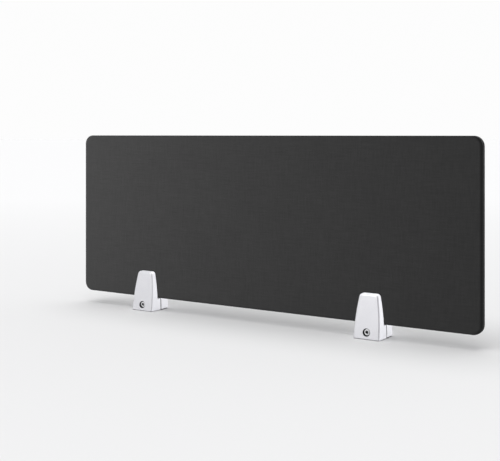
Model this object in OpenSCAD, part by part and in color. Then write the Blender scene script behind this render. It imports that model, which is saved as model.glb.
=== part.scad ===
// Desk privacy panel: a fabric-covered screen held upright on a desktop by two screw clamps.
// Millimetres. +X runs along the panel, +Z is up, -Y is the front, where the clamp screws face.
// The origin is on the desktop, under the middle of the assembly.

/* [Panel] */
// Width of the panel over its fabric
panel_w = 800; // [600:10:1200]
// Height of the panel over its fabric
panel_h = 300; // [250:10:450]
// Thickness of the panel over its fabric
panel_t = 15; // [14:0.5:16]
// Radius of the four corners of the panel's outline
corner_r = 16; // [10:1:40]
// Thickness of the stiff board in the middle
core_t = 8; // [6:0.5:9]
// Thickness of the cover fabric
fabric_t = 0.8; // [0.5:0.1:1.2]
// Radius the padding gives the panel's edges, front and back
ease_r = 4.6; // [3:0.2:5.4]

/* [Clamp positions] */
// From the left end of the panel to the middle of the left clamp
left_inset = 160; // [60:0.5:240]
// From the right end of the panel to the middle of the right clamp
right_inset = 182.5; // [60:0.5:240]

/* [Clamp body] */
// Height of a clamp above the desktop
clamp_h = 71; // [70:1:100]
// Width of a clamp at its foot
clamp_w = 46; // [42:1:56]
// How far each side has curved in by the top
side_taper = 7; // [3:0.5:8]
// Radius of the two top corners, seen from the front
top_r = 6; // [3:0.5:8]
// Depth of the front jaw at its foot, from the middle of the panel
front_d = 28; // [25:0.5:32]
// Depth of the rear jaw at its foot, from the middle of the panel
rear_d = 23; // [20:0.5:28]
// How far the front jaw's face leans back from foot to top
front_lean = 9.5; // [4:0.5:10]
// How far the rear jaw's face leans in from foot to top
rear_lean = 5; // [2:0.5:6]
// Radius along a jaw's outer top edge
edge_r = 3; // [1.5:0.5:4]
// Height of the ledge the panel stands over
ledge_z = 21; // [21:0.5:26]
// Gap between the two jaws under the panel
parting_gap = 1.5; // [1:0.1:3]

/* [Pads] */
// Thickness of the rubber pad on each jaw
pad_t = 2; // [1.5:0.25:2.5]
// Width of the jaw pads
pad_w = 28; // [20:1:28]
// Thickness of the strip the panel stands on
seat_t = 1; // [0.5:0.1:1.5]
// Thickness of the foot pad under the rear jaw
foot_t = 1; // [0.5:0.1:1.5]

/* [Hardware] */
// Height of the clamp screw's axis above the desktop
screw_z = 11; // [10.5:0.5:12]
// Length of the clamp screw under its head
screw_l = 30; // [25:5:30]
// Diameter of the two dowels that guide the front jaw
pin_d = 4; // [3:1:4]
// Height of the dowels above the desktop
pin_z = 16.5; // [16:0.5:17]
// Distance between the dowels
pin_span = 28; // [26:1:30]
// Drilled diameter of the tapped holes under the rear jaw
desk_hole_d = 4.2; // [3.3:M4, 4.2:M5]
// Distance between the tapped holes
desk_hole_span = 26; // [24:1:28]
// Depth of the tapped holes
desk_hole_l = 10; // [8:1:11]

/* [Hidden] */
$fn = 96;

// how far a cutting shape runs past the surface it opens
overcut = 1;
bore_overcut = 5;

board_color = [0.72, 0.60, 0.44];
foam_color = [0.62, 0.62, 0.60];
fabric_color = [0.22, 0.22, 0.23];
jaw_color = [0.87, 0.87, 0.89];
screw_color = [0.62, 0.63, 0.65];
pin_color = [0.70, 0.71, 0.73];
pad_color = [0.12, 0.12, 0.12];
foot_color = [0.15, 0.15, 0.15];

// middle plane of the panel, placed so that the clamps are centred front to back
mid_y = (front_d - rear_d) / 2;
left_x = left_inset - panel_w / 2;
right_x = panel_w / 2 - right_inset;

// panel layers, inset from the panel's outline
panel_z = ledge_z + seat_t;
foam_inset = fabric_t + 0.1;
core_inset = fabric_t + 0.3;

// jaw pads: they stand in shallow pockets and just clear the fabric
pocket_depth = 0.5;
pocket_gap = 0.1;
pad_clear = 0.05;
pad_r = 3;
pad_z = ledge_z + 4;
pad_top_margin = 8;
pad_h = clamp_h - pad_z - pad_top_margin;

// jaw section
jaw_face = panel_t / 2 + pad_t - pocket_depth;
front_foot_gap = 0.5;
foot_bevel = 1;
inner_bevel = 0.6;

// flat pads: distances in from the edges around them
seat_side_inset = 3;
seat_margin = 0.1;
seat_r = 1;
foot_side_inset = 1.5;
foot_inner_inset = 1;
foot_outer_inset = 2;
foot_r = 2;
foot_hole_extra = 1.3;

// side curve of a clamp: one large arc that is upright at the desktop
side_r = (clamp_h * clamp_h + side_taper * side_taper) / (2 * side_taper);
side_cx = clamp_w / 2 - side_r;
// top corner arc, tangent to the side curve and to the top
corner_cz = clamp_h - top_r;
corner_cx = side_cx + sqrt(pow(side_r - top_r, 2) - corner_cz * corner_cz);
corner_angle = asin(corner_cz / (side_r - top_r));

// depth of a jaw's leaning face at the height of the screw
function face_at_screw(depth, lean) = depth - lean * screw_z / clamp_h;

// M6 socket head cap screw in a counterbore
shank_r = 3;
head_r = 5;
head_h = 6;
head_chamfer = 0.5;
tip_chamfer = 1;
hex_af = 5;
hex_depth = 3;
clear_r = shank_r + 0.3;
thread_r = shank_r + 0.05;
bore_r = head_r + 1.25;
head_sink = 1.8;
head_seat = face_at_screw(front_d, front_lean) - head_sink - head_h;
// the blind hole runs past the screw's tip but leaves a wall behind it
tip_gap = 2.4;
rear_wall = 2;
screw_hole_end = min(screw_l - head_seat + tip_gap, face_at_screw(rear_d, rear_lean) - rear_wall);

// dowels: reach into each jaw from the middle of the panel
pin_r = pin_d / 2;
pin_front = 12;
pin_rear = 14;
pin_l = pin_front + pin_rear;
pin_chamfer = 0.4;
pin_clear = 0.05;
pin_end_gap = 1.5;

// tapped holes, back from the middle of the panel
desk_hole_y = 11;

// ---- outlines ----

// points [x, z] of a clamp's right half, from the foot to the middle of the top
function half_outline(side_steps = 14, corner_steps = 8) = concat(
    [for (i = [0 : side_steps]) let (angle = corner_angle * i / side_steps)
        [side_cx + side_r * cos(angle), side_r * sin(angle)]],
    [for (i = [1 : corner_steps])
        let (angle = corner_angle + (90 - corner_angle) * i / corner_steps)
        [corner_cx + top_r * cos(angle), corner_cz + top_r * sin(angle)]]
);

function reversed(list) = [for (i = [len(list) - 1 : -1 : 0]) list[i]];

// a jaw in section, points [distance out from the middle of the panel, z]
function section(depth, lean, bottom, steps = 6) =
    let (
        parting = parting_gap / 2,
        face_z = bottom + foot_bevel,
        tilt = atan(lean / (clamp_h - face_z)),
        // centre of the top edge arc, tangent to the leaning face and to the top
        arc_z = clamp_h - edge_r,
        arc_out = depth - (edge_r + (arc_z - face_z) * sin(tilt)) / cos(tilt)
    )
    concat(
        [
            [parting, bottom + inner_bevel],
            [parting + inner_bevel, bottom],
            [depth - foot_bevel, bottom],
            [depth, face_z]
        ],
        [for (i = [0 : steps]) let (angle = tilt + (90 - tilt) * i / steps)
            [arc_out + edge_r * cos(angle), arc_z + edge_r * sin(angle)]],
        [
            [jaw_face + inner_bevel, clamp_h],
            [jaw_face, clamp_h - inner_bevel],
            [jaw_face, ledge_z],
            [parting + inner_bevel, ledge_z],
            [parting, ledge_z - inner_bevel]
        ]
    );

module rounded_rect(width, height, radius) {
    square([width - 2 * radius, height], center = true);
    square([width, height - 2 * radius], center = true);
    for (x = [-1, 1], y = [-1, 1])
        translate([x * (width / 2 - radius), y * (height / 2 - radius)]) circle(radius);
}

// quarter of a plate's edge in section, with the outer corner eased
module edge_profile(reach, thick, ease) {
    intersection() {
        union() {
            square([reach, thick - ease]);
            square([reach - ease, thick]);
            translate([reach - ease, thick - ease]) circle(ease);
        }
        square([reach, thick]);
    }
}

// ---- shared solids and placement; start and end are distances along Y ----

// a rounded slab standing on edge
module upright_slab(width, height, radius, start, end) {
    translate([0, end, height / 2]) rotate([90, 0, 0])
        linear_extrude(end - start) rounded_rect(width, height, radius);
}

// a round bore
module bore(radius, start, end) {
    translate([0, end, 0]) rotate([90, 0, 0]) cylinder(r = radius, h = end - start);
}

// a rounded slab lying flat
module flat_pad(width, radius, thick, start, end) {
    translate([0, (start + end) / 2, 0]) linear_extrude(thick)
        rounded_rect(width, end - start, radius);
}

// a rounded plate lying flat, with its upper edge eased all the way round
module eased_plate(width, height, radius, thick, ease) {
    half_x = width / 2 - radius;
    half_y = height / 2 - radius;
    translate([-half_x, -half_y, 0]) cube([2 * half_x, 2 * half_y, thick]);
    for (i = [0, 1]) {
        mirror([i, 0, 0]) translate([half_x, half_y, 0]) rotate([90, 0, 0])
            linear_extrude(2 * half_y) edge_profile(radius, thick, ease);
        mirror([0, i, 0]) rotate([0, 0, 90]) translate([half_y, half_x, 0]) rotate([90, 0, 0])
            linear_extrude(2 * half_x) edge_profile(radius, thick, ease);
        for (j = [0, 1])
            mirror([i, 0, 0]) mirror([0, j, 0]) translate([half_x, half_y, 0])
                rotate_extrude(angle = 90) edge_profile(radius, thick, ease);
    }
}

// front parts are built like rear parts and mirrored to the front
module to_front() { mirror([0, 1, 0]) children(); }
module in_panel() { translate([0, mid_y, panel_z]) children(); }
module in_clamp(x) { translate([x, mid_y, 0]) children(); }

// stands a flat plate up so that its thickness points to the back
module stand() { translate([0, 0, panel_h / 2]) rotate([-90, 0, 0]) children(); }

// two copies, side by side
module pair(span) {
    for (side = [-1, 1])
        translate([side * span / 2, 0, 0]) children();
}

// ---- panel layers ----

// the panel's rear half, brought in by inset all round
module half_panel(inset, extra = 0) {
    eased_plate(panel_w - 2 * inset, panel_h - 2 * inset, corner_r - inset,
        panel_t / 2 - min(inset, fabric_t) + extra, ease_r - inset);
}

module core_board() {
    translate([0, 0, core_inset])
        upright_slab(panel_w - 2 * core_inset, panel_h - 2 * core_inset,
            corner_r - core_inset, -core_t / 2, core_t / 2);
}

module foam_sheet() {
    stand() difference() {
        half_panel(foam_inset);
        translate([-panel_w, -panel_h, -overcut])
            cube([2 * panel_w, 2 * panel_h, core_t / 2 + overcut]);
    }
}

module fabric_tray() {
    stand() difference() {
        half_panel(0);
        translate([0, 0, -overcut]) half_panel(fabric_t, overcut);
    }
}

module panel_core() { color(board_color) in_panel() core_board(); }
module front_foam() { color(foam_color) in_panel() to_front() foam_sheet(); }
module rear_foam() { color(foam_color) in_panel() foam_sheet(); }
module front_fabric() { color(fabric_color) in_panel() to_front() fabric_tray(); }
module rear_fabric() { color(fabric_color) in_panel() fabric_tray(); }

// ---- clamp parts, each built about the clamp's own middle ----

// the front outline crossed with the side section
module jaw_blank(depth, lean, bottom) {
    right = half_outline();
    left = [for (point = right) [-point[0], point[1]]];
    intersection() {
        translate([0, depth + overcut, 0]) rotate([90, 0, 0])
            linear_extrude(depth + 2 * overcut) polygon(concat(right, reversed(left)));
        translate([-clamp_w, 0, 0]) rotate([90, 0, 90]) linear_extrude(2 * clamp_w)
            polygon(section(depth, lean, bottom));
    }
}

module pad_pocket() {
    translate([0, 0, pad_z - pocket_gap])
        upright_slab(pad_w + 2 * pocket_gap, pad_h + 2 * pocket_gap, pad_r + pocket_gap,
            jaw_face - overcut, jaw_face + pocket_depth);
}

module pin_holes(radius, end) {
    pair(pin_span) translate([0, 0, pin_z]) bore(radius, -overcut, end);
}

module desk_holes(diameter, bottom, top) {
    pair(desk_hole_span) translate([0, desk_hole_y, bottom])
        cylinder(d = diameter, h = top - bottom);
}

module rear_jaw() {
    difference() {
        jaw_blank(rear_d, rear_lean, foot_t);
        pad_pocket();
        translate([0, 0, screw_z]) bore(thread_r, -overcut, screw_hole_end);
        pin_holes(pin_r, pin_rear);
        desk_holes(desk_hole_d, foot_t - overcut, foot_t + desk_hole_l);
    }
}

module front_jaw() {
    to_front() difference() {
        jaw_blank(front_d, front_lean, front_foot_gap);
        pad_pocket();
        translate([0, 0, screw_z]) {
            bore(clear_r, -overcut, front_d);
            bore(bore_r, head_seat, front_d + bore_overcut);
        }
        pin_holes(pin_r + pin_clear, pin_front + pin_end_gap);
    }
}

module jaw_pad() {
    translate([0, 0, pad_z])
        upright_slab(pad_w, pad_h, pad_r, panel_t / 2 + pad_clear, jaw_face + pocket_depth);
}

module seat_pad() {
    translate([0, 0, ledge_z])
        flat_pad(clamp_w - 2 * seat_side_inset, seat_r, seat_t,
            parting_gap / 2 + inner_bevel + seat_margin, panel_t / 2 - seat_margin);
}

module foot_pad() {
    difference() {
        flat_pad(clamp_w - 2 * foot_side_inset, foot_r, foot_t,
            parting_gap / 2 + foot_inner_inset, rear_d - foot_outer_inset);
        desk_holes(desk_hole_d + foot_hole_extra, -overcut, foot_t + overcut);
    }
}

module guide_pins() {
    pair(pin_span) translate([0, pin_rear, pin_z]) rotate([90, 0, 0])
        rotate_extrude() polygon([
            [0, 0],
            [pin_r - pin_chamfer, 0],
            [pin_r, pin_chamfer],
            [pin_r, pin_l - pin_chamfer],
            [pin_r - pin_chamfer, pin_l],
            [0, pin_l]
        ]);
}

module clamp_screw() {
    tip = head_h + screw_l;
    translate([0, -head_seat - head_h, screw_z]) rotate([-90, 0, 0])
    difference() {
        rotate_extrude() polygon([
            [0, 0],
            [head_r - head_chamfer, 0],
            [head_r, head_chamfer],
            [head_r, head_h],
            [shank_r, head_h],
            [shank_r, tip - tip_chamfer],
            [shank_r - tip_chamfer, tip],
            [0, tip]
        ]);
        translate([0, 0, -overcut]) rotate([0, 0, 30])
            cylinder(d = hex_af / cos(30), h = hex_depth + overcut, $fn = 6);
    }
}

// ---- left clamp ----

module left_rear_jaw() { color(jaw_color) in_clamp(left_x) rear_jaw(); }
module left_front_jaw() { color(jaw_color) in_clamp(left_x) front_jaw(); }
module left_clamp_screw() { color(screw_color) in_clamp(left_x) clamp_screw(); }
module left_guide_pins() { color(pin_color) in_clamp(left_x) guide_pins(); }
module left_rear_pad() { color(pad_color) in_clamp(left_x) jaw_pad(); }
module left_front_pad() { color(pad_color) in_clamp(left_x) to_front() jaw_pad(); }
module left_seat_pad() { color(pad_color) in_clamp(left_x) seat_pad(); }
module left_foot_pad() { color(foot_color) in_clamp(left_x) foot_pad(); }

// ---- right clamp ----

module right_rear_jaw() { color(jaw_color) in_clamp(right_x) rear_jaw(); }
module right_front_jaw() { color(jaw_color) in_clamp(right_x) front_jaw(); }
module right_clamp_screw() { color(screw_color) in_clamp(right_x) clamp_screw(); }
module right_guide_pins() { color(pin_color) in_clamp(right_x) guide_pins(); }
module right_rear_pad() { color(pad_color) in_clamp(right_x) jaw_pad(); }
module right_front_pad() { color(pad_color) in_clamp(right_x) to_front() jaw_pad(); }
module right_seat_pad() { color(pad_color) in_clamp(right_x) seat_pad(); }
module right_foot_pad() { color(foot_color) in_clamp(right_x) foot_pad(); }

panel_core();
front_foam();
rear_foam();
front_fabric();
rear_fabric();
left_rear_jaw();
left_guide_pins();
left_rear_pad();
left_seat_pad();
left_foot_pad();
left_front_jaw();
left_front_pad();
left_clamp_screw();
right_rear_jaw();
right_guide_pins();
right_rear_pad();
right_seat_pad();
right_foot_pad();
right_front_jaw();
right_front_pad();
right_clamp_screw();
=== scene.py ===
# A cloth-covered panel standing upright in two silver clamps, each a front and a rear jaw drawn
# together by a cap screw. X runs along the panel, Y through its thickness with the front
# towards -Y, and Z up from the floor at 0. Lengths are in metres.
import bpy
import bmesh
import math
import numpy as np
from mathutils import Matrix, Vector


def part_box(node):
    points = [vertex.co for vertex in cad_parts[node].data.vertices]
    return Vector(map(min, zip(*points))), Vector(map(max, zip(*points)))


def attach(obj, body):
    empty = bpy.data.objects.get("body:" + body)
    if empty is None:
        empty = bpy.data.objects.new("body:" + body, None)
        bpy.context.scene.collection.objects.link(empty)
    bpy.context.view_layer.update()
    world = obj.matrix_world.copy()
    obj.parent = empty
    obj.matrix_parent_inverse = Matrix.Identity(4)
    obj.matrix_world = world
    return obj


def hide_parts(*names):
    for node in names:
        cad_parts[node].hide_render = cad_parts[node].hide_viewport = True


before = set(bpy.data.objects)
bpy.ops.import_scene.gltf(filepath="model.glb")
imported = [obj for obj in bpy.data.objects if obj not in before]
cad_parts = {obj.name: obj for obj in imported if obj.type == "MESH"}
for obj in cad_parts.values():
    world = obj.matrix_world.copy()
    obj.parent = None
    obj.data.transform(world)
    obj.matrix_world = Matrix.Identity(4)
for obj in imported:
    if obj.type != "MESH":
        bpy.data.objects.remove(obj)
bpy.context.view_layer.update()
MM = 0.001
SCENE = bpy.context.scene
FRONT, REAR = -1.0, 1.0        # the sign of Y on either side of the panel's middle plane


# ------------------------------------------------------------------ helpers

def new_object(name, verts, faces, uvs=None, sharp=None):
    """A smooth closed mesh, with uvs given per vertex and edges over sharp degrees kept hard."""
    mesh = bpy.data.meshes.new(name)
    mesh.from_pydata([tuple(map(float, v)) for v in verts], [], [tuple(f) for f in faces])
    if uvs is not None:
        layer = mesh.uv_layers.new(name="cloth")
        corner_verts = np.zeros(len(mesh.loops), np.int32)
        mesh.loops.foreach_get("vertex_index", corner_verts)
        layer.data.foreach_set("uv", np.asarray(uvs)[corner_verts].astype(np.float32).ravel())
    bm = bmesh.new()
    bm.from_mesh(mesh)
    bmesh.ops.recalc_face_normals(bm, faces=bm.faces)
    bm.to_mesh(mesh)
    bm.free()
    mesh.update()
    mesh.shade_smooth()
    if sharp:
        mesh.set_sharp_from_angle(angle=math.radians(sharp))
    return link_object(name, mesh)


def link_object(name, data):
    ob = bpy.data.objects.new(name, data)
    SCENE.collection.objects.link(ob)
    return ob


def bake(ob):
    """Applies every modifier, so that the piece is left as a plain mesh."""
    bpy.context.view_layer.update()
    graph = bpy.context.evaluated_depsgraph_get()
    mesh = bpy.data.meshes.new_from_object(
        ob.evaluated_get(graph), preserve_all_data_layers=True, depsgraph=graph)
    old = ob.data
    ob.modifiers.clear()
    ob.data = mesh
    bpy.data.meshes.remove(old)
    mesh.name = ob.name


def drop(ob):
    mesh = ob.data
    bpy.data.objects.remove(ob)
    bpy.data.meshes.remove(mesh)


def subtract(ob, cutters):
    for cutter in cutters:
        cut = ob.modifiers.new("cut", "BOOLEAN")
        cut.operation = "DIFFERENCE"
        cut.solver = "EXACT"
        cut.object = cutter
        bake(ob)
        drop(cutter)


def lathe(name, profile, segments, origin=(0, 0, 0), axis="Y", sign=1.0, sharp=None):
    """Turns (distance along the axis, radius) points round the axis.

    A radius is a number or a list with one value per segment; 0 closes the end.
    """
    angles = [2 * math.pi * k / segments for k in range(segments)]
    points, faces, rings = [], [], []
    for distance, radius in profile:
        start = len(points)
        if radius == 0:
            points.append((0, 0, distance))
        else:
            radii = radius if isinstance(radius, list) else [radius] * segments
            points += [(r * math.cos(t), r * math.sin(t), distance)
                       for r, t in zip(radii, angles)]
        rings.append(range(start, len(points)))
    for ring, following in zip(rings[:-1], rings[1:]):
        for k in range(segments):
            k2 = (k + 1) % segments
            if len(ring) == 1:
                faces.append((ring[0], following[k], following[k2]))
            elif len(following) == 1:
                faces.append((ring[k2], ring[k], following[0]))
            else:
                faces.append((ring[k], following[k], following[k2], ring[k2]))
    ox, oy, oz = origin
    if axis == "Y":
        verts = [(ox + x, oy + sign * a, oz + y) for x, y, a in points]
    else:
        verts = [(ox + x, oy + y, oz + sign * a) for x, y, a in points]
    return new_object(name, verts, faces, sharp=sharp)


def wear(ob, material):
    ob.data.materials.clear()
    ob.data.materials.append(material)
    return ob


def register(ob, body, node=None):
    if node:
        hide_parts(node)
    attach(ob, body)


# -------------------------------------------------------------- node trees

NOISE_SPAN = (0.3, 0.7)        # where nearly all of a noise texture's values fall
UNIT_SPAN = (0.0, 1.0)


class Shader:
    """Writes a node tree. Inputs are sockets or values, and None leaves a default."""

    def __init__(self, tree):
        self.tree = tree
        tree.nodes.clear()

    def put(self, socket, value):
        if isinstance(value, bpy.types.NodeSocket):
            self.tree.links.new(value, socket)
        elif value is not None:
            socket.default_value = value

    def node(self, kind, inputs=None, **settings):
        node = self.tree.nodes.new("ShaderNode" + kind)
        for key, value in settings.items():
            setattr(node, key, value)
        for key, value in (inputs or {}).items():
            self.put(node.inputs[key], value)
        return node

    def math(self, operation, a, b=None, c=None):
        return self.node("Math", {0: a, 1: b, 2: c}, operation=operation).outputs[0]

    def add(self, a, b):
        return self.math("ADD", a, b)

    def multiply(self, a, b):
        return self.math("MULTIPLY", a, b)

    def length(self, a, b):
        return self.math("SQRT", self.add(self.multiply(a, a), self.multiply(b, b)))

    def coords(self, kind="Object"):
        return self.node("TexCoord").outputs[kind]

    def uv(self):
        return self.node("UVMap", uv_map="cloth").outputs[0]

    def split(self, vector):
        return self.node("SeparateXYZ", {0: vector}).outputs

    def join(self, x, y):
        return self.node("CombineXYZ", {0: x, 1: y}).outputs[0]

    def scale(self, vector, factor):
        """vector times one number, or a number for each axis."""
        factors = factor if isinstance(factor, tuple) else (factor,) * 3
        return self.node("VectorMath", {0: vector, 1: factors}, operation="MULTIPLY").outputs[0]

    def noise(self, vector, stretch=None, detail=2.0, roughness=0.5):
        if stretch is not None:
            vector = self.scale(vector, stretch)
        return self.node("TexNoise", {"Vector": vector, "Scale": 1.0, "Detail": detail,
                                      "Roughness": roughness}).outputs["Fac"]

    def voronoi(self, vector, stretch, output="Distance"):
        vector = self.scale(vector, stretch)
        return self.node("TexVoronoi", {"Vector": vector, "Scale": 1.0}).outputs[output]

    def remap(self, value, low, high, span=NOISE_SPAN):
        """Takes span to low..high, clamped."""
        return self.node("MapRange", {"Value": value, "From Min": span[0], "From Max": span[1],
                                      "To Min": low, "To Max": high}, clamp=True).outputs[0]

    def mix(self, factor, a, b):
        return self.node("Mix", {0: factor, 2: a, 3: b}, data_type="FLOAT").outputs[0]

    def blend(self, factor, a, b):
        """Mixes two RGB colours."""
        inputs = {0: factor, 6: (*a, 1.0), 7: (*b, 1.0)}
        return self.node("Mix", inputs, data_type="RGBA").outputs[2]

    def tint(self, colour, factor):
        return self.node("VectorMath", {0: colour, 3: factor}, operation="SCALE").outputs[0]

    def bump(self, height, strength, distance):
        return self.node("Bump", {"Strength": strength, "Distance": distance,
                                  "Height": height}).outputs[0]


class Material(Shader):
    """A material with one Principled surface."""

    def __init__(self, name):
        self.material = bpy.data.materials.new(name)
        self.material.use_nodes = True
        super().__init__(self.material.node_tree)
        output = self.node("OutputMaterial")
        self.surface = self.node("BsdfPrincipled")
        self.put(output.inputs[0], self.surface.outputs[0])

    def finish(self, **inputs):
        for key, value in inputs.items():
            self.put(self.surface.inputs[key.replace("_", " ")], value)
        return self.material


# ---------------------------------------------------------------- materials

def fabric_material():
    """A plain weave laid out in the cloth's UV map, which is in metres."""
    mat = Material("charcoal_weave")
    yarn_pitch = 1.25 * MM
    slub_stretch = 0.045                       # along a yarn, per yarn pitch
    warp_seed, weft_seed = 7.31, 5.17          # set neighbouring yarns apart in the noise

    u, v, _ = mat.split(mat.uv())
    u, v = mat.math("DIVIDE", u, yarn_pitch), mat.math("DIVIDE", v, yarn_pitch)
    # each yarn wanders a little, so the grid isn't ruled
    wander = mat.noise(mat.uv(), stretch=(90.0, 90.0, 1.0), detail=1.0)
    wander = mat.remap(wander, low=-0.22, high=0.22)
    u, v = mat.add(u, wander), mat.add(v, wander)

    def ridge(position):
        return mat.math("ABSOLUTE", mat.math("SINE", mat.multiply(position, math.pi)))

    def yarn(across, along):
        """A rounded yarn that sinks to 0.55 of its height where it passes under."""
        return mat.multiply(mat.math("POWER", across, 0.6),
                            mat.math("MULTIPLY_ADD", along, 0.45, 0.55))

    ridge_u, ridge_v = ridge(u), ridge(v)
    cell = mat.add(mat.math("FLOOR", u), mat.math("FLOOR", v))
    parity = mat.math("MODULO", mat.math("ABSOLUTE", cell), 2.0)
    height = mat.mix(parity, yarn(ridge_u, ridge_v), yarn(ridge_v, ridge_u))

    # thick and thin stretches along each yarn
    warp_slub = mat.noise(mat.join(mat.multiply(mat.math("FLOOR", u), warp_seed),
                                   mat.multiply(v, slub_stretch)))
    weft_slub = mat.noise(mat.join(mat.multiply(u, slub_stretch),
                                   mat.multiply(mat.math("FLOOR", v), weft_seed)))
    slub_span = (0.88, 1.12)
    slub = mat.remap(mat.mix(parity, warp_slub, weft_slub), *slub_span, span=(0.25, 0.75))

    # spun fibre, and slow shade changes over the width of the cloth
    fibre = mat.noise(mat.uv(), stretch=(9000.0, 9000.0, 1.0), detail=3.0, roughness=0.6)
    fibre = mat.remap(fibre, low=0.85, high=1.15)
    broad = mat.noise(mat.uv(), stretch=(11.0, 11.0, 1.0), detail=3.0, roughness=0.55)
    broad = mat.remap(broad, low=0.975, high=1.025)
    shade = mat.multiply(mat.multiply(slub, fibre), broad)
    painted_hollow_shade, painted_shade_rise = 0.52, 0.62    # painted shade: the hollows between the yarns are darker than the yarns' tops
    # painted shade: the colour follows the weave's height, dark in the hollows
    shade = mat.multiply(shade, mat.math("MULTIPLY_ADD", height, painted_shade_rise, painted_hollow_shade))
    colour = mat.blend(mat.remap(slub, low=0.0, high=1.0, span=slub_span),
                       (0.0232, 0.0232, 0.0234), (0.0278, 0.0278, 0.0279))
    colour = mat.tint(colour, shade)
    fibre_relief = 0.12
    relief = mat.add(height, mat.multiply(fibre, fibre_relief))
    return mat.finish(
        Base_Color=colour, Roughness=mat.remap(height, low=0.95, high=0.82, span=UNIT_SPAN),
        Specular_IOR_Level=0.10, Sheen_Weight=0.035, Sheen_Roughness=0.45,
        Sheen_Tint=(0.8, 0.82, 0.86, 1.0),
        Normal=mat.bump(relief, strength=0.55, distance=0.00022))


def thread_material():
    mat = Material("seam_thread")
    twist = mat.noise(mat.coords(), stretch=2600.0)
    return mat.finish(
        Base_Color=mat.tint((0.036, 0.036, 0.038), mat.remap(twist, low=0.75, high=1.25)),
        Roughness=0.7, Specular_IOR_Level=0.3, Sheen_Weight=0.2,
        Normal=mat.bump(twist, strength=0.4, distance=0.0001))


def powder_material():
    """Silver paint: an orange-peel skin over fine metal flake."""
    mat = Material("silver_coat")
    point = mat.coords()
    peel = mat.noise(point, stretch=1150.0, roughness=0.45)
    flake = mat.split(mat.voronoi(point, stretch=6500.0, output="Color"))[0]
    cast = mat.noise(point, stretch=42.0, detail=3.0)
    colour = mat.blend(mat.remap(cast, low=0.0, high=1.0),
                       (0.800, 0.798, 0.832), (0.822, 0.820, 0.850))
    colour = mat.tint(colour, mat.remap(flake, low=0.955, high=1.035, span=UNIT_SPAN))
    return mat.finish(
        Base_Color=colour, Metallic=0.52, Roughness=mat.remap(peel, low=0.29, high=0.35),
        Specular_IOR_Level=0.5, Coat_Weight=0.20, Coat_Roughness=0.16,
        Normal=mat.bump(peel, strength=0.20, distance=0.00005))


def bore_shade_material():
    """Painted shade for the bores and the screw's socket: near-black metal, ringed by the drill's
    feed along Y.
    """
    mat = Material("bore_painted_shade")
    feed_pitch = 0.18 * MM
    _, y, _ = mat.split(mat.coords())
    feed = mat.math("SINE", mat.multiply(y, 2 * math.pi / feed_pitch))
    spots = mat.noise(mat.coords(), stretch=1500.0, detail=3.0)
    # painted shade: near-black, standing for the depth of the bore
    return mat.finish(
        Base_Color=mat.blend(spots, (0.018, 0.018, 0.019), (0.040, 0.040, 0.042)),
        Metallic=0.35, Roughness=mat.remap(spots, low=0.42, high=0.55),
        Normal=mat.bump(feed, strength=0.25, distance=0.00002))


def gap_shade_material():
    """Painted shade for the gap between the jaws: dark metal on the parting faces and their
    rounded edges, milled in wide arcs.
    """
    mat = Material("parting_face_painted_shade")
    arc_pitch = 0.55 * MM
    centre_offset = 0.9                        # the arcs centre on x = -0.9 m
    x, _, z = mat.split(mat.coords())
    x_squared = mat.math("POWER", mat.add(x, centre_offset), 2.0)
    radius = mat.math("SQRT", mat.add(x_squared, mat.multiply(z, z)))
    arcs = mat.math("SINE", mat.multiply(radius, 2 * math.pi / arc_pitch))
    spots = mat.noise(mat.coords(), stretch=1300.0, detail=3.0)
    # painted shade: dark, standing for the shadow in the gap between the jaws
    return mat.finish(
        Base_Color=mat.blend(spots, (0.145, 0.146, 0.150), (0.205, 0.206, 0.212)),
        Metallic=0.7, Roughness=mat.remap(spots, low=0.36, high=0.48),
        Normal=mat.bump(arcs, strength=0.2, distance=0.00002))


def steel_material(name, colour, roughness, axis_xz, ringed=True):
    """Steel with fine rings about a line along Y; unless ringed, they vary only the roughness."""
    mat = Material(name)
    x, y, z = mat.split(mat.coords())
    radius = mat.length(mat.math("SUBTRACT", x, axis_xz[0]), mat.math("SUBTRACT", z, axis_xz[1]))
    across, along = 9000.0, 2500.0             # how fine the rings are
    rings = mat.noise(mat.join(mat.multiply(radius, across), mat.multiply(y, along)),
                      detail=3.0, roughness=0.6)
    spots = mat.noise(mat.coords(), stretch=900.0, detail=3.0)
    ring_roughness = mat.remap(rings, low=roughness - 0.06, high=roughness + 0.06)
    return mat.finish(
        Base_Color=mat.blend(spots, tuple(c * 0.86 for c in colour), colour), Metallic=1.0,
        Roughness=mat.add(ring_roughness, mat.remap(spots, low=-0.03, high=0.03)),
        Normal=mat.bump(rings if ringed else spots, strength=0.12, distance=0.00003))


def rubber_material():
    mat = Material("pad_rubber")
    point = mat.coords()
    grain = mat.voronoi(point, stretch=1900.0)
    dust = mat.noise(point, stretch=160.0, detail=4.0, roughness=0.6)
    dusty = mat.remap(dust, low=0.0, high=0.5, span=(0.45, 0.8))
    return mat.finish(
        Base_Color=mat.blend(dusty, (0.021, 0.021, 0.022), (0.050, 0.050, 0.051)),
        Roughness=mat.remap(dust, low=0.70, high=0.84), Specular_IOR_Level=0.35,
        Normal=mat.bump(grain, strength=0.30, distance=0.00008))


def foam_material():
    mat = Material("open_cell_foam")
    point = mat.coords()
    small_cells = mat.voronoi(point, stretch=1400.0)
    big_cells = mat.voronoi(point, stretch=600.0)
    big_share = 0.5
    height = mat.math("MULTIPLY_ADD", big_cells, big_share, small_cells)
    # painted shade: the cells' hollows, low in the bump, are darker
    return mat.finish(
        Base_Color=mat.blend(mat.remap(height, low=0.0, high=1.0, span=(0.2, 1.0)),
                             (0.13, 0.13, 0.128), (0.34, 0.34, 0.335)),
        Roughness=0.95, Specular_IOR_Level=0.15,
        Normal=mat.bump(height, strength=0.8, distance=0.0003))


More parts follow.
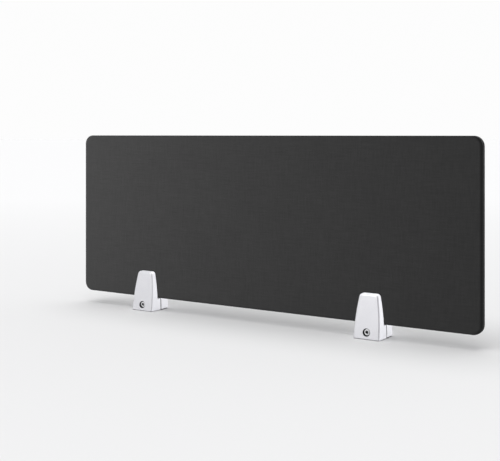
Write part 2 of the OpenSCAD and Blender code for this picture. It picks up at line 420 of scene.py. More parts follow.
def board_material():
    mat = Material("fibreboard")
    point = mat.coords()
    fibre = mat.noise(point, stretch=(700.0, 2400.0, 700.0), detail=4.0, roughness=0.65)
    chips = mat.split(mat.voronoi(point, stretch=(260.0, 900.0, 260.0), output="Color"))[0]
    chip_share, fibre_share = 0.25, 0.75
    tone = mat.math("MULTIPLY_ADD", chips, chip_share, mat.multiply(fibre, fibre_share))
    return mat.finish(
        Base_Color=mat.blend(tone, (0.27, 0.175, 0.095), (0.50, 0.36, 0.22)),
        Roughness=0.86, Specular_IOR_Level=0.2,
        Normal=mat.bump(fibre, strength=0.35, distance=0.0002))


FABRIC, THREAD, POWDER = fabric_material(), thread_material(), powder_material()
BORE_SHADE, GAP_SHADE = bore_shade_material(), gap_shade_material()
RUBBER, FOAM, BOARD = rubber_material(), foam_material(), board_material()


# ---------------------------------------------------- rounded rectangle slabs

class Outline:
    """A rounded rectangle in X and Z, with a grid of cells filling its flat middle.

    Rim points are centre + (radius - inset) * normal, and each joins one grid point.
    """

    def __init__(self, width, height, radius, cell, arc_steps):
        half_x, half_z = width / 2 - radius, height / 2 - radius
        self.radius = radius
        self.columns = max(1, round(2 * half_x / cell))
        self.rows = max(1, round(2 * half_z / cell))
        self.xs = np.linspace(-half_x, half_x, self.columns + 1)
        self.zs = np.linspace(-half_z, half_z, self.rows + 1)
        centres, normals, self.joins = [], [], []

        def rim_point(column, row, normal):
            centres.append((self.xs[column], self.zs[row]))
            normals.append(normal)
            self.joins.append(row * (self.columns + 1) + column)

        def side(grid_points, normal, start):
            """One straight side, and the corner arc that starts at the given angle."""
            for column, row in grid_points:
                rim_point(column, row, normal)
            for k in range(1, arc_steps):
                t = math.radians(start + 90.0 * k / arc_steps)
                rim_point(column, row, (math.cos(t), math.sin(t)))

        last_column, last_row = self.columns, self.rows
        side([(i, 0) for i in range(last_column + 1)], (0, -1), -90)
        side([(last_column, k) for k in range(last_row + 1)], (1, 0), 0)
        side([(i, last_row) for i in range(last_column, -1, -1)], (0, 1), 90)
        side([(0, k) for k in range(last_row, -1, -1)], (-1, 0), 180)
        self.centres, self.normals = np.array(centres), np.array(normals, float)
        self.count = len(centres)

    def grid(self):
        return np.array([(x, z) for z in self.zs for x in self.xs])


def slab(outline, start_y, rings, end_y, lift=None):
    """A closed solid: a grid at start_y, rings of (inset, y) round the edge, a grid at end_y.

    lift is added to the y of both grids. Returns vertices, faces and UVs.
    """
    grid = outline.grid()
    count = outline.count
    if lift is None:
        lift = np.zeros(len(grid))
    verts = [(x, start_y + up, z) for (x, z), up in zip(grid, lift)]
    uvs = [(x, z) for x, z in grid]
    length, previous = 0.0, (outline.radius, start_y)
    for inset, y in rings:
        length += math.hypot(previous[0] - inset, y - previous[1])
        previous = (inset, y)
        for centre, normal in zip(outline.centres, outline.normals):
            point = centre + (outline.radius - inset) * normal
            verts.append((point[0], y, point[1]))
            uvs.append(tuple(centre + length * normal))
    verts += [(x, end_y + up, z) for (x, z), up in zip(grid, lift)]
    uvs += [(x, z) for x, z in grid]
    faces = []

    def fill(start):
        for k in range(outline.rows):
            for i in range(outline.columns):
                a = start + k * (outline.columns + 1) + i
                faces.append((a, a + 1, a + outline.columns + 2, a + outline.columns + 1))

    def stitch(ring_start, grid_start):
        for j in range(count):
            j2 = (j + 1) % count
            a, b = outline.joins[j], outline.joins[j2]
            if a == b:
                faces.append((ring_start + j, ring_start + j2, grid_start + a))
            else:
                faces.append((ring_start + j, ring_start + j2, grid_start + b, grid_start + a))

    first_ring = len(grid)
    last_ring = first_ring + (len(rings) - 1) * count
    last_grid = last_ring + count
    fill(0)
    stitch(first_ring, 0)
    for here in range(first_ring, last_ring, count):
        following = here + count
        for j in range(count):
            j2 = (j + 1) % count
            faces.append((here + j, here + j2, following + j2, following + j))
    stitch(last_ring, last_grid)
    fill(last_grid)
    return np.array(verts), faces, np.array(uvs)


def arc_rings(inset, y, radius, start, end, steps):
    """Rings on an arc about (inset, y): (inset - radius cos t, y + radius sin t), in degrees."""
    angles = [math.radians(start + (end - start) * k / steps) for k in range(steps + 1)]
    return [(inset - radius * math.cos(t), y + radius * math.sin(t)) for t in angles]


# -------------------------------------------------------------------- panel

front_lo, front_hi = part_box("front_fabric")
rear_lo, rear_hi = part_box("rear_fabric")
PANEL_WIDTH, PANEL_HEIGHT = front_hi[0] - front_lo[0], front_hi[2] - front_lo[2]
MID_Y = rear_lo[1]
HALF_THICK = rear_hi[1] - MID_Y
PANEL_Z = (front_lo[2] + front_hi[2]) / 2
CORNER = 16 * MM               # corner radius seen from the front
EASE = 4.6 * MM                # radius of the cover's rounded edge
CLOTH = 0.8 * MM               # thickness of the cloth
CORE_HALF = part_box("panel_core")[1][1] - MID_Y
COVER = Outline(PANEL_WIDTH, PANEL_HEIGHT, CORNER, cell=8 * MM, arc_steps=8)


def puff():
    """How far padding lifts the rear and front cloth, from simulating the cover as one bag."""
    frames = 16
    grid_count = len(COVER.grid())
    edge = [(10 * MM, HALF_THICK)] + arc_rings(EASE, HALF_THICK - EASE, EASE, 90, 0, 3)
    edge = edge + [(inset, -y) for inset, y in reversed(edge)]
    verts, faces, _ = slab(COVER, HALF_THICK, edge, -HALF_THICK)
    bag = new_object("bag", verts, faces)
    last_grid = len(verts) - grid_count
    pins = bag.vertex_groups.new(name="pins")
    pins.add(list(range(grid_count, last_grid)), 1.0, "REPLACE")
    border = sorted(set(COVER.joins))
    pins.add(border + [last_grid + b for b in border], 1.0, "REPLACE")
    cloth = bag.modifiers.new("cloth", "CLOTH")
    settings = cloth.settings
    settings.quality = 4
    settings.mass = 0.3
    settings.tension_stiffness = settings.compression_stiffness = 12.0
    settings.shear_stiffness = 6.0
    settings.bending_stiffness = 0.6
    settings.vertex_group_mass = "pins"
    settings.use_pressure = True
    settings.uniform_pressure_force = 3.0
    settings.effector_weights.gravity = 0.0
    cloth.collision_settings.use_self_collision = False
    cloth.point_cache.frame_start = 1
    cloth.point_cache.frame_end = frames
    for step in range(1, frames + 1):
        SCENE.frame_set(step)
    mesh = bag.evaluated_get(bpy.context.evaluated_depsgraph_get()).data
    places = np.zeros(len(mesh.vertices) * 3, np.float32)
    mesh.vertices.foreach_get("co", places)
    places = places.reshape(-1, 3)
    rear = np.array(places[:grid_count, 1], float) - HALF_THICK
    front = -np.array(places[-grid_count:, 1], float) - HALF_THICK
    drop(bag)
    SCENE.frame_set(1)
    return rear, front


def limit_lift(raw):
    """Caps the cloth's lift, and brings it down to nothing where a clamp's pad can reach it."""
    cap = 0.9 * MM
    flat_below, fade_height = 62 * MM, 70 * MM
    gain = 1.1
    grid = COVER.grid()
    height = grid[:, 1] + PANEL_HEIGHT / 2
    t = np.clip((height - flat_below) / fade_height, 0, 1)
    keep = t * t * (3 - 2 * t)
    top = float(np.percentile(raw, 99))
    if top <= 1e-6:            # nothing was simulated: a plain dome stands in
        x, z = grid[:, 0] / (PANEL_WIDTH / 2), grid[:, 1] / (PANEL_HEIGHT / 2)
        raw, top = np.clip((1 - x ** 4) * (1 - z ** 4), 0, 1) * cap, cap
    return cap * np.tanh(np.clip(raw, 0, None) / top * gain) * keep


def place(verts, sign):
    """Takes a slab made about the origin to the panel's front or rear."""
    placed = verts.copy()
    placed[:, 1] *= sign
    placed[:, 1] += MID_Y
    placed[:, 2] += PANEL_Z
    return placed


def fabric_cover(face, sign, lift):
    """Half of the cover: its outside, the edge turned in at the seam, and its inside."""
    outer = [(12.5 * MM, HALF_THICK), (9 * MM, HALF_THICK), (6.4 * MM, HALF_THICK)]
    outer += arc_rings(EASE, HALF_THICK - EASE, EASE, 90, 0, 8)
    outer += [(0.0, 1.9 * MM), (0.03 * MM, 1.2 * MM), (0.16 * MM, 0.6 * MM),
              (0.42 * MM, 0.2 * MM), (0.70 * MM, 0.03 * MM)]
    inner = [(CLOTH + 0.05 * MM, 0.30 * MM), (CLOTH, 1.5 * MM)]
    inner += arc_rings(EASE, HALF_THICK - EASE, EASE - CLOTH, 0, 90, 5)
    inner += [(10 * MM, HALF_THICK - CLOTH)]
    verts, faces, uvs = slab(COVER, HALF_THICK, outer + inner, HALF_THICK - CLOTH, lift)
    ob = wear(new_object(f"{face}_fabric_cover", place(verts, sign), faces, uvs=uvs), FABRIC)
    register(ob, "panel", f"{face}_fabric")


def foam_sheet(face, sign):
    """The padding between the core and one face of the cover."""
    inset = 0.9 * MM           # from the outside of the cover
    outline = Outline(PANEL_WIDTH - 1.8 * MM, PANEL_HEIGHT - 1.8 * MM, CORNER - inset,
                      cell=24 * MM, arc_steps=6)
    ease = EASE - CLOTH - 0.1 * MM
    inner_y, outer_y = CORE_HALF, HALF_THICK - CLOTH - 0.02 * MM
    arc_y = outer_y - ease
    start = math.degrees(math.asin(max(-1.0, min(1.0, (inner_y - arc_y) / ease))))
    rings = [(ease + 3 * MM, inner_y)] + arc_rings(ease, arc_y, ease, start, 90, 5)
    rings += [(ease + 3 * MM, outer_y)]
    verts, faces, _ = slab(outline, inner_y, rings, outer_y)
    ob = wear(new_object(f"{face}_foam_sheet", place(verts, sign), faces, sharp=50), FOAM)
    register(ob, "panel", f"{face}_foam")


def edge_stitching():
    """Ladder stitches drawing the halves of the cover together round the middle of the edge."""
    pitch = 3.6 * MM
    thread_radius, half_length = 0.19 * MM, 1.02 * MM
    lean = 0.42 * MM           # along the seam
    sides, steps = 6, 5
    a, b, r = PANEL_WIDTH / 2 - CORNER, PANEL_HEIGHT / 2 - CORNER, CORNER
    corner_length = math.pi / 2 * r
    # straight length, its start, its outward normal, and the centre of the corner after it
    route = [
        (2 * a, (-a, -b - r), (0, -1), (a, -b)),
        (2 * b, (a + r, -b), (1, 0), (a, b)),
        (2 * a, (a, b + r), (0, 1), (-a, b)),
        (2 * b, (-a - r, b), (-1, 0), (-a, -b)),
    ]

    def at(s):
        """The point and the outward normal at a distance along the seam."""
        for i, (length, start, normal, centre) in enumerate(route):
            if s <= length:
                return (start[0] - normal[1] * s, start[1] + normal[0] * s), normal
            s -= length
            if s <= corner_length:
                t = math.radians(-90 + 90 * i) + s / r
                normal = (math.cos(t), math.sin(t))
                return (centre[0] + r * normal[0], centre[1] + r * normal[1]), normal
            s -= corner_length

    total = sum(side[0] + corner_length for side in route)
    count = int(total / pitch)
    verts, faces = [], []
    for i in range(count):
        (px, pz), (nx, nz) = at(total * i / count)
        tx, tz = -nz, nx
        base = len(verts)
        for k in range(steps + 1):
            q = -1 + 2 * k / steps
            along = q * lean
            out = (0.06 - 0.42 * q ** 4) * MM          # its ends dive into the cloth
            x, z = px + nx * out + tx * along, pz + nz * out + tz * along
            radius = thread_radius * (0.55 if k in (0, steps) else 1.0)
            for j in range(sides):
                t = 2 * math.pi * j / sides
                c, s = radius * math.cos(t), radius * math.sin(t)
                verts.append((x + nx * c + tx * s, MID_Y + q * half_length,
                              PANEL_Z + z + nz * c + tz * s))
        for k in range(steps):
            ring, following = base + k * sides, base + (k + 1) * sides
            for j in range(sides):
                j2 = (j + 1) % sides
                faces.append((ring + j, ring + j2, following + j2, following + j))
        faces.append(tuple(base + j for j in range(sides)))
        faces.append(tuple(base + steps * sides + j for j in reversed(range(sides))))
    register(wear(new_object("edge_stitching", verts, faces), THREAD), "panel")


raw_rear, raw_front = puff()
fabric_cover("front", FRONT, limit_lift(raw_front))
fabric_cover("rear", REAR, limit_lift(raw_rear))
foam_sheet("front", FRONT)
foam_sheet("rear", REAR)
edge_stitching()
wear(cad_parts["panel_core"], BOARD)


# ------------------------------------------------------------------- clamps

# A jaw seen from the front: sides on large arcs, upright at the floor, and rounded top corners.
CLAMP_HEIGHT, CLAMP_WIDTH = 71 * MM, 46 * MM
TAPER = 7 * MM                 # how far each side has come in at the clamp's height
SIDE_R = (CLAMP_HEIGHT ** 2 + TAPER ** 2) / (2 * TAPER)
SIDE_X = CLAMP_WIDTH / 2 - SIDE_R              # centre of the right side's arc, at z = 0
TOP_R = 6 * MM
TOP_Z = CLAMP_HEIGHT - TOP_R
TOP_X = SIDE_X + math.sqrt((SIDE_R - TOP_R) ** 2 - TOP_Z ** 2)
TOP_ANGLE = math.degrees(math.asin(TOP_Z / (SIDE_R - TOP_R)))

# Distances from the panel's middle plane.
LEDGE = 21 * MM                # height of the ledge that the panel stands over
GAP = 0.75 * MM                # to the parting faces below the ledge
FACE = HALF_THICK + 1.5 * MM   # to the inner faces above it
FRONT_DEPTH, REAR_DEPTH = 28 * MM, 23 * MM     # to the outer faces near the bottom
FRONT_LEAN, REAR_LEAN = 9.5 * MM, 5 * MM       # how far they come in towards the top
FRONT_BOTTOM, REAR_BOTTOM = 0.5 * MM, 1.0 * MM
LEAN_START = 1 * MM            # height above the bottom where the full depth is measured

SCREW_Z = 11 * MM
PIN_X, PIN_Z = 14 * MM, 16.5 * MM
COUNTERBORE = 6.25 * MM        # radius
HEAD_HEIGHT, HEAD_SINK = 6 * MM, 1.8 * MM
HEAD_SEAT = FRONT_DEPTH - FRONT_LEAN * SCREW_Z / CLAMP_HEIGHT - HEAD_SINK - HEAD_HEIGHT
HEAD_TOP = HEAD_SEAT + HEAD_HEIGHT
CUT_START = -2 * MM            # cutters start this far beyond the face that they cut

# Flats are cut across at these heights and distances from the middle, in mm.
HEIGHT_CUTS = (3.2, 8.0, 14.0, 20.0, 26.5, 32.0, 38.0, 44.0, 50.0, 56.0, 61.5, 64.5, 67.5)
WIDTH_CUTS = (-18.5, -15.8, -12.5, -7.0, 0.0, 7.0, 12.5, 15.8, 18.5)


def outer_depth(z, depth, lean, bottom):
    start = bottom + LEAN_START
    return depth - lean * (z - start) / (CLAMP_HEIGHT - start)


def jaw_path(bottom):
    """(x, z) up the right side, over the top and down the left side."""
    tangent_z = SIDE_R * math.sin(math.radians(TOP_ANGLE))
    side_steps, corner_steps = 8, 14
    heights = [bottom, bottom + 7 * MM, bottom + 14 * MM, LEDGE]
    heights += [LEDGE + (tangent_z - LEDGE) * k / side_steps for k in range(1, side_steps + 1)]
    right = [(SIDE_X + math.sqrt(SIDE_R ** 2 - z * z), z) for z in heights]
    for k in range(1, corner_steps + 1):
        t = math.radians(TOP_ANGLE + (90 - TOP_ANGLE) * k / corner_steps)
        right.append((TOP_X + TOP_R * math.cos(t), TOP_Z + TOP_R * math.sin(t)))
    return right + [(-x, z) for x, z in reversed(right)]


def jaw_mesh(name, depth, lean, bottom, sign, cx):
    """A jaw with a rolled outer edge: one face per flat, rounded with a weighted bevel."""
    path = jaw_path(bottom)
    last = len(path) - 1
    bm = bmesh.new()

    def vert(i, y):
        x, z = path[i]
        return bm.verts.new((cx + x, MID_Y + sign * y, z))

    high = [i for i, (x, z) in enumerate(path) if z >= LEDGE - 1e-9]
    low = [i for i, (x, z) in enumerate(path) if z <= LEDGE + 1e-9]
    low_right = [i for i in low if path[i][0] > 0]
    low_left = [i for i in low if path[i][0] < 0]
    outer = [vert(i, outer_depth(z, depth, lean, bottom)) for i, (x, z) in enumerate(path)]
    upper = {i: vert(i, FACE) for i in high}
    lower = {i: vert(i, GAP) for i in low_right + low_left}

    bm.faces.new(outer)
    bm.faces.new([upper[i] for i in reversed(high)])
    bm.faces.new([lower[i] for i in low_left + low_right])
    for i in range(last):
        j = i + 1
        if i in upper and j in upper:
            inner = (upper[i], upper[j])
        elif j in upper:
            inner = (lower[i], lower[j], upper[j])
        elif i in upper:
            inner = (upper[i], lower[i], lower[j])
        else:
            inner = (lower[i], lower[j])
        bm.faces.new((outer[i], *inner, outer[j]))
    bm.faces.new((outer[last], lower[last], lower[0], outer[0]))
    right, left = low_right[-1], low_left[0]
    bm.faces.new((upper[right], upper[left], lower[left], lower[right]))
    bmesh.ops.recalc_face_normals(bm, faces=bm.faces)

    outer_weight, bottom_weight, inner_weight = 1.0, 0.30, 0.20
    weight = bm.edges.layers.float.new("bevel_weight_edge")
    outer_verts = set(outer)
    for edge in bm.edges:
        if all(v in outer_verts for v in edge.verts):
            at_bottom = all(v.co.z < bottom + 1e-6 for v in edge.verts)
            edge[weight] = bottom_weight if at_bottom else outer_weight
        elif edge.calc_face_angle(0.0) > math.radians(30):
            edge[weight] = inner_weight
    mesh = bpy.data.meshes.new(name)
    bm.to_mesh(mesh)
    bm.free()
    ob = link_object(name, mesh)
    bevel = ob.modifiers.new("round", "BEVEL")
    bevel.limit_method = "WEIGHT"
    bevel.width = 3.0 * MM
    bevel.segments = 7
    bevel.profile = 0.5
    bevel.use_clamp_overlap = True
    bake(ob)

    # a few cuts across the flats, so that the bores leave no long thin triangles
    bm = bmesh.new()
    bm.from_mesh(ob.data)
    planes = [((0, 0, z * MM), (0, 0, 1)) for z in HEIGHT_CUTS]
    planes += [((cx + x * MM, 0, 0), (1, 0, 0)) for x in WIDTH_CUTS]
    for point, normal in planes:
        bmesh.ops.bisect_plane(bm, geom=bm.verts[:] + bm.edges[:] + bm.faces[:], dist=1e-6,
                               plane_co=point, plane_no=normal)
    bm.to_mesh(ob.data)
    bm.free()
    return ob


def blind_hole(x, z, sign, radius, straight, end, segments):
    """A cutter for a hole into a parting face, straight to one depth and pointed at the end."""
    profile = [(CUT_START, 0), (CUT_START, radius), (straight, radius), (end, 0)]
    return lathe("hole", profile, segments, (x, MID_Y, z), sign=sign)


def pin_holes(cx, sign, radius, straight, end):
    return [blind_hole(cx + x, PIN_Z, sign, radius, straight, end, segments=48)
            for x in (-PIN_X, PIN_X)]


def pocket(cx, sign):
    """A cutter for the shallow pocket that holds a grip pad."""
    lo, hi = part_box("left_front_pad")
    start, end = FACE - 3 * MM, FACE + 0.5 * MM
    outline = Outline(28.2 * MM, hi[2] - lo[2] + 0.2 * MM, 3.1 * MM, cell=40 * MM, arc_steps=6)
    verts, faces, _ = slab(outline, start, [(0, start), (0, end)], end)
    verts[:, 1] = MID_Y + sign * verts[:, 1]
    verts[:, 0] += cx
    verts[:, 2] += (lo[2] + hi[2]) / 2
    return new_object("pocket", verts, faces)


def tidy_normals(ob):
    """Splits the boolean's many-sided faces, and sets normals that keep the flats flat."""
    mesh = ob.data
    bm = bmesh.new()
    bm.from_mesh(mesh)
    bmesh.ops.remove_doubles(bm, verts=bm.verts[:], dist=0.004 * MM)
    bmesh.ops.dissolve_degenerate(bm, edges=bm.edges[:], dist=0.002 * MM)
    bmesh.ops.triangulate(bm, faces=[f for f in bm.faces if len(f.verts) > 4],
                          quad_method="BEAUTY", ngon_method="BEAUTY")
    bm.to_mesh(mesh)
    bm.free()
    mesh.update()
    mesh.shade_smooth()
    # faces in one plane count once, weighted by the whole plane's area
    nudge = 0.00013            # keeps round normals off the edges of the rounding
    plane_step = 0.03 * MM
    polys = mesh.polygons
    plane_area, planes = {}, []
    around = [[] for _ in mesh.vertices]
    for face in polys:
        plane = (*(round(n + nudge, 3) for n in face.normal),
                 round(face.normal.dot(face.center) / plane_step))
        planes.append(plane)
        plane_area[plane] = plane_area.get(plane, 0.0) + face.area
        for v in face.vertices:
            around[v].append(face.index)
    smooth_limit = math.cos(math.radians(32))
    normals = [None] * len(mesh.loops)
    for face in polys:
        for corner, v in zip(face.loop_indices, face.vertices):
            total, seen = Vector((0.0, 0.0, 0.0)), set()
            for other in around[v]:
                plane, normal = planes[other], polys[other].normal
                if plane not in seen and normal.dot(face.normal) > smooth_limit:
                    seen.add(plane)
                    total += normal * plane_area[plane]
            normals[corner] = total.normalized() if total.length > 1e-12 else face.normal.copy()
    mesh.normals_split_custom_set(normals)
    mesh.update()


def finish_jaw(ob, node, body, bored=None):
    """Paints a jaw, with painted shade on its parting faces and on the faces that bored(centre)
    picks out.
    """
    tidy_normals(ob)
    wear(ob, POWDER)
    ob.data.materials.append(GAP_SHADE)
    ob.data.materials.append(BORE_SHADE)
    for face in ob.data.polygons:
        c = face.center
        # painted shade in the gap between the jaws: the parting faces and their rounded edges
        if c.z < LEDGE - 0.1 * MM and abs(c.y - MID_Y) < GAP + 0.28 * MM:
            face.material_index = 1
        # painted shade in the counterbore
        if bored and bored(c):
            face.material_index = 2
    register(ob, body, node)


def front_jaw(side, cx):
    ob = jaw_mesh(f"{side}_front_jaw_body", FRONT_DEPTH, FRONT_LEAN, FRONT_BOTTOM, FRONT, cx)
    shank_hole, seat, beyond = 3.3 * MM, HEAD_SEAT - 0.02 * MM, 40 * MM
    screw_hole = [(CUT_START, 0), (CUT_START, shank_hole), (seat, shank_hole),
                  (seat, COUNTERBORE), (beyond, COUNTERBORE), (beyond, 0)]
    cutters = [lathe("hole", screw_hole, 96, (cx, MID_Y, SCREW_Z), sign=FRONT)]
    cutters += pin_holes(cx, FRONT, radius=2.05 * MM, straight=13.5 * MM, end=13.9 * MM)
    # a small chamfer round the counterbore, square to the leaning face
    chamfer = [(-0.75 * MM, 0), (-0.75 * MM, COUNTERBORE - 0.25 * MM),
               (0.02 * MM, COUNTERBORE + 0.50 * MM), (1.5 * MM, COUNTERBORE + 1.98 * MM),
               (1.5 * MM, 0)]
    cone = lathe("rim", chamfer, 96)
    lean = math.atan(FRONT_LEAN / (CLAMP_HEIGHT - FRONT_BOTTOM - LEAN_START))
    y = outer_depth(SCREW_Z, FRONT_DEPTH, FRONT_LEAN, FRONT_BOTTOM)
    cone.data.transform(Matrix.Translation((cx, MID_Y - y, SCREW_Z))
                        @ Matrix.Rotation(math.pi - lean, 4, "X"))
    subtract(ob, cutters + [cone, pocket(cx, FRONT)])

    # the counterbore's faces, which get the painted shade
    def bored(c):
        return (math.hypot(c.x - cx, c.z - SCREW_Z) < COUNTERBORE + 0.05 * MM
                and c.y - MID_Y > -HEAD_TOP - 1.2 * MM)

    finish_jaw(ob, f"{side}_front_jaw", f"{side}_front_jaw", bored)


def rear_jaw(side, cx):
    ob = jaw_mesh(f"{side}_rear_jaw_body", REAR_DEPTH, REAR_LEAN, REAR_BOTTOM, REAR, cx)
    cutters = [blind_hole(cx, SCREW_Z, REAR, radius=3.05 * MM, straight=13.7 * MM,
                          end=15.2 * MM, segments=64)]
    cutters += pin_holes(cx, REAR, radius=2.02 * MM, straight=14.02 * MM, end=14.02 * MM)
    # two countersunk holes up into the bottom
    r = 2.1 * MM
    tap = [(-2 * MM, 0), (-2 * MM, r + 3.4 * MM), (1 * MM, r + 0.4 * MM), (1.4 * MM, r),
           (11 * MM, r), (12.2 * MM, 0)]
    for x in (-13 * MM, 13 * MM):
        cutters.append(lathe("tap", tap, 48, (cx + x, MID_Y + 11 * MM, 0), "Z"))
    subtract(ob, cutters + [pocket(cx, REAR)])
    finish_jaw(ob, f"{side}_rear_jaw", f"{side}_clamp")


def cap_screw(side, cx, steel):
    """An M6 x 30 socket head cap screw as one closed skin, from the socket's floor to the tip."""
    segments = 96
    angles = [2 * math.pi * k / segments for k in range(segments)]
    socket = 2.5 * MM          # half the hexagon's width across flats
    shank = 2.98 * MM
    start, end, pitch, deep = 10.5 * MM, 36.0 * MM, 1.0 * MM, 0.56 * MM    # the thread
    step, run_in, tip_length = 0.125 * MM, 1.2 * MM, 1.0 * MM

    def hexagon(apothem):
        return [apothem / math.cos(((math.degrees(t) + 30.0) % 60.0 - 30.0) * math.pi / 180.0)
                for t in angles]

    def thread_ring(d):
        fade = min(1.0, (d - start) / run_in)
        tip = max(0.0, d - (end - tip_length))
        ring = []
        for t in angles:
            phase = (d / pitch + t / (2 * math.pi)) % 1.0
            crest = min(1.0, max(0.0, (0.5 - abs(phase - 0.5)) * 2.35 - 0.08))
            ring.append(min(shank - deep * fade * (1.0 - crest), shank - tip * 0.9))
        return ring

    knurl = [4.98 * MM if k % 2 else 4.86 * MM for k in range(segments)]
    # distance from the head's top towards the tip, radius
    profile = [
        (4.0 * MM, 0), (4.0 * MM, 0.6 * MM),
        (3.2 * MM, hexagon(socket * 0.97)), (3.1 * MM, hexagon(socket)),
        (0.28 * MM, hexagon(socket)), (0.0, 3.12 * MM),
        (0.0, 4.35 * MM), (0.10 * MM, 4.62 * MM), (0.55 * MM, 4.93 * MM),
        (0.72 * MM, knurl), (5.3 * MM, knurl),
        (5.5 * MM, 4.92 * MM), (5.85 * MM, 4.90 * MM), (HEAD_HEIGHT, 4.75 * MM),
        (HEAD_HEIGHT, 3.20 * MM), (6.3 * MM, shank), (start - 1.0 * MM, shank),
    ]
    steps = int((end - start) / step)
    for i in range(steps + 1):
        d = start + (end - start) * i / steps
        profile.append((d, thread_ring(d)))
    profile += [(end, 1.6 * MM), (end, 0)]
    top_y = MID_Y - HEAD_TOP
    ob = lathe(f"{side}_cap_screw", profile, segments, (cx, top_y, SCREW_Z), sharp=28)
    wear(ob, steel)
    ob.data.materials.append(BORE_SHADE)
    for face in ob.data.polygons:              # painted shade inside the socket
        c = face.center
        inside = math.hypot(c.x - cx, c.z - SCREW_Z) < 2.95 * MM
        if 0.3 * MM < c.y - top_y < 4.4 * MM and inside:
            face.material_index = 1
    register(ob, f"{side}_screw", f"{side}_clamp_screw")


def eased_pad(name, node, body, flat=False):
    """A rubber pad with softened edges, filling its CAD node's box. It stands unless flat."""
    lo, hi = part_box(node)
    centre = [(lo[i] + hi[i]) / 2 for i in range(3)]
    size = [hi[i] - lo[i] for i in range(3)]
    width, height, thick = (size[0], size[1], size[2]) if flat else (size[0], size[2], size[1])
    ease = min(0.35 * MM, thick * 0.3)
    corner = 1.0 * MM if flat else 3.0 * MM
    outline = Outline(width, height, corner, cell=6 * MM, arc_steps=6)
    rings = [(ease, -thick / 2)] + arc_rings(ease, -thick / 2 + ease, ease, -90, 0, 3)[1:]
    rings += arc_rings(ease, thick / 2 - ease, ease, 0, 90, 3)
    verts, faces, _ = slab(outline, -thick / 2, rings, thick / 2)
    if flat:
        verts = verts[:, [0, 2, 1]]
    ob = wear(new_object(name, verts + np.array(centre), faces, sharp=60), RUBBER)
    register(ob, body, node)


for side in ("left", "right"):
    screw_lo, screw_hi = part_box(f"{side}_clamp_screw")
    cx = (screw_lo[0] + screw_hi[0]) / 2
    zinc = steel_material(f"{side}_zinc", colour=(0.86, 0.865, 0.88), roughness=0.34,
                          axis_xz=(cx, SCREW_Z))
    front_jaw(side, cx)
    rear_jaw(side, cx)
    cap_screw(side, cx, zinc)
    eased_pad(f"{side}_front_grip_pad", f"{side}_front_pad", f"{side}_front_jaw")
    eased_pad(f"{side}_rear_grip_pad", f"{side}_rear_pad", f"{side}_clamp")
    eased_pad(f"{side}_seat_strip", f"{side}_seat_pad", f"{side}_clamp", flat=True)
    wear(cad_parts[f"{side}_foot_pad"], RUBBER)
    ground = steel_material(f"{side}_ground_pins", colour=(0.62, 0.63, 0.65), roughness=0.22,
                            axis_xz=(cx, PIN_Z), ringed=False)
    wear(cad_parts[f"{side}_guide_pins"], ground)


# -------------------------------------------------------------------- stage

SKY, GLOSS_SKY = 0.30, 0.80    # strength of the studio's light, and of its reflections
BACKDROP = 0.98
FLAG = math.radians(57)        # bearing of a dark flag, from the front round to the right


def dark_side(shader, direction):
    """1 where a reflection looks at the dark flag to the front right of the set, else 0."""
    x, y, _ = shader.split(direction)
    length = shader.length(x, y)
    facing = shader.add(shader.multiply(x, math.sin(FLAG)), shader.multiply(y, -math.cos(FLAG)))
    span = (math.cos(math.radians(40)), math.cos(math.radians(22)))
    return shader.remap(shader.math("DIVIDE", facing, length), low=0.0, high=1.0, span=span)


def floor_material():
    """Near white, with painted shade a little darker about the middle, and a painted reflection
    of the dark flag, darker in glossy rays towards it.
    """
    mat = Material("studio_floor")
    tone = mat.noise(mat.coords(), stretch=3.0, detail=3.0)
    path = mat.node("LightPath")
    view = mat.scale(mat.node("NewGeometry").outputs["Incoming"], -1.0)
    # painted reflection: glossy rays towards the dark flag see a darker floor
    flag = mat.multiply(dark_side(mat, view), path.outputs["Is Glossy Ray"])
    x, y, _ = mat.split(mat.coords())
    # painted shade: darker about the middle, lightening out to 3.4 m
    away = mat.remap(mat.length(x, y), low=0.0, high=1.0, span=(0.3, 3.4))
    limit, rounding = 1.0, 0.3
    away = mat.math("SMOOTH_MIN", away, limit, rounding)
    light = mat.multiply(mat.mix(away, 0.90, 1.0),
                         mat.remap(flag, low=1.0, high=0.15, span=UNIT_SPAN))
    colour = mat.tint(mat.blend(tone, (0.857, 0.857, 0.860), (0.863, 0.863, 0.866)), light)
    return mat.finish(Base_Color=colour, Roughness=0.9, Specular_IOR_Level=0.0)


def studio_floor():
    bm = bmesh.new()
    bmesh.ops.create_circle(bm, cap_ends=True, segments=96, radius=60.0)
    mesh = bpy.data.meshes.new("studio_floor")
    bm.to_mesh(mesh)
    bm.free()
    ob = link_object("studio_floor", mesh)
    ob.location = (0, 0, -0.2 * MM)
    wear(ob, floor_material())
    return ob


def studio_world():
    """A plain backdrop for the camera, and a sky with the dark flag for all other rays."""
    world = bpy.data.worlds.new("studio")
    SCENE.world = world
    world.use_nodes = True
    sky = Shader(world.node_tree)
    output = sky.node("OutputWorld")
    path = sky.node("LightPath")
    backdrop = sky.node("Background", {0: (1.0, 1.0, 1.0, 1.0), 1: BACKDROP})
    is_glossy = path.outputs["Is Glossy Ray"]
    flag = sky.multiply(dark_side(sky, sky.coords("Generated")), is_glossy)
    strength = sky.multiply(sky.mix(is_glossy, SKY, GLOSS_SKY),
                            sky.remap(flag, low=1.0, high=0.12, span=UNIT_SPAN))
    studio = sky.node("Background", {0: (0.98, 0.985, 1.0, 1.0), 1: strength})
    mixed = sky.node("MixShader", {0: path.outputs["Is Camera Ray"], 1: studio.outputs[0],
                                   2: backdrop.outputs[0]})
    sky.put(output.inputs[0], mixed.outputs[0])


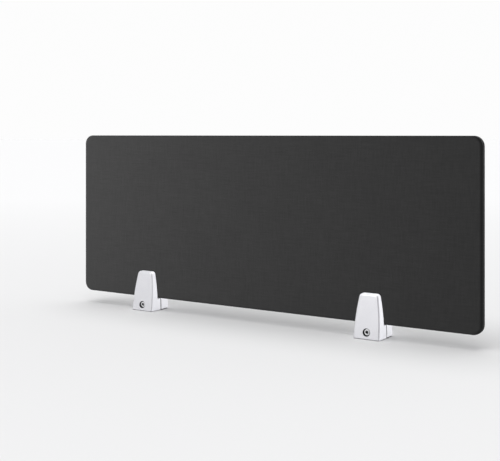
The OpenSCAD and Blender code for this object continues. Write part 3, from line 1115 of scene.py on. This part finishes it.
def light(name, kind, location, aim, energy, lit, shadows=None, colour=(1, 1, 1), **settings):
    """A light kept to the pieces in lit and, if shadows is given, to those pieces' shadows."""
    data = bpy.data.lights.new(name, kind)
    data.energy = energy
    data.color = colour
    for key, value in settings.items():
        setattr(data, key, value)
    ob = bpy.data.objects.new(name, data)
    ob.location = location
    ob.rotation_euler = (Vector(aim) - Vector(location)).to_track_quat("-Z", "Y").to_euler()
    SCENE.collection.objects.link(ob)
    linking = ob.light_linking
    linking.receiver_collection = piece_group(f"{name}_lit", lit)
    if shadows is not None:
        linking.blocker_collection = piece_group(f"{name}_shadows", shadows)
    return ob


def piece_group(name, pieces):
    group = bpy.data.collections.new(name)
    for piece in pieces:
        group.objects.link(piece)
    return group


floor = studio_floor()
studio_world()

cover_names = ("front_fabric_cover", "rear_fabric_cover", "edge_stitching")
on_panel = [bpy.data.objects[name] for name in cover_names]
meshes = [ob for ob in bpy.data.objects if ob.type == "MESH"]
on_clamps = [ob for ob in meshes if ob.name.startswith(("left_", "right_"))]
for ob in meshes:              # the clamps' paint doesn't mirror the dark panel
    if ob.name in cover_names + ("front_foam_sheet", "rear_foam_sheet", "panel_core"):
        ob.visible_glossy = False

light("floor_top", "SUN", location=(-0.5, -0.35, 3.0), aim=(0, 0, 0), energy=2.715,
      lit=[floor], angle=math.radians(70.0))
light("panel_left", "AREA", location=(-1.5, -1.15, 0.7), aim=(-0.9, 0.0, 0.2), energy=76.0,
      lit=on_panel, shadows=on_panel, colour=(1.0, 0.995, 0.99), size=1.0)
light("panel_back", "AREA", location=(0.6, 1.7, 0.9), aim=(0.0, 0.0, 0.16), energy=42.0,
      lit=on_panel, size=1.2)
light("clamp_left", "AREA", location=(-0.9, -2.2, 1.4), aim=(0.0, 0.0, 0.05), energy=25.0,
      lit=on_clamps, colour=(1.0, 0.995, 0.985), size=1.3)
clamp_right = light(
    "clamp_right", "AREA", location=(1.8, 0.9, 0.55), aim=(0.0, 0.0, 0.04), energy=56.0,
    lit=on_clamps, shadows=on_clamps, colour=(0.985, 0.99, 1.0), size=1.2)
clamp_right.visible_glossy = False
light("clamp_top", "AREA", location=(0.1, 0.45, 1.3), aim=(0.0, 0.0, 0.07), energy=12.0,
      lit=on_clamps, shadows=on_clamps, size=0.9)

camera_data = bpy.data.cameras.new("camera")
camera_data.sensor_width = 36.0
camera_data.lens = 69.85
camera_data.shift_y = -0.19232
camera = link_object("camera", camera_data)
camera.location = (0.90755, -1.40392, 0.32407)
camera.rotation_euler = (math.pi / 2, 0.0, 0.58303)    # level, turned to the left
SCENE.camera = camera
SCENE.view_settings.view_transform = "Standard"
SCENE.view_settings.look = "None"
SCENE.view_settings.exposure = 0.0
SCENE.view_settings.gamma = 1.0
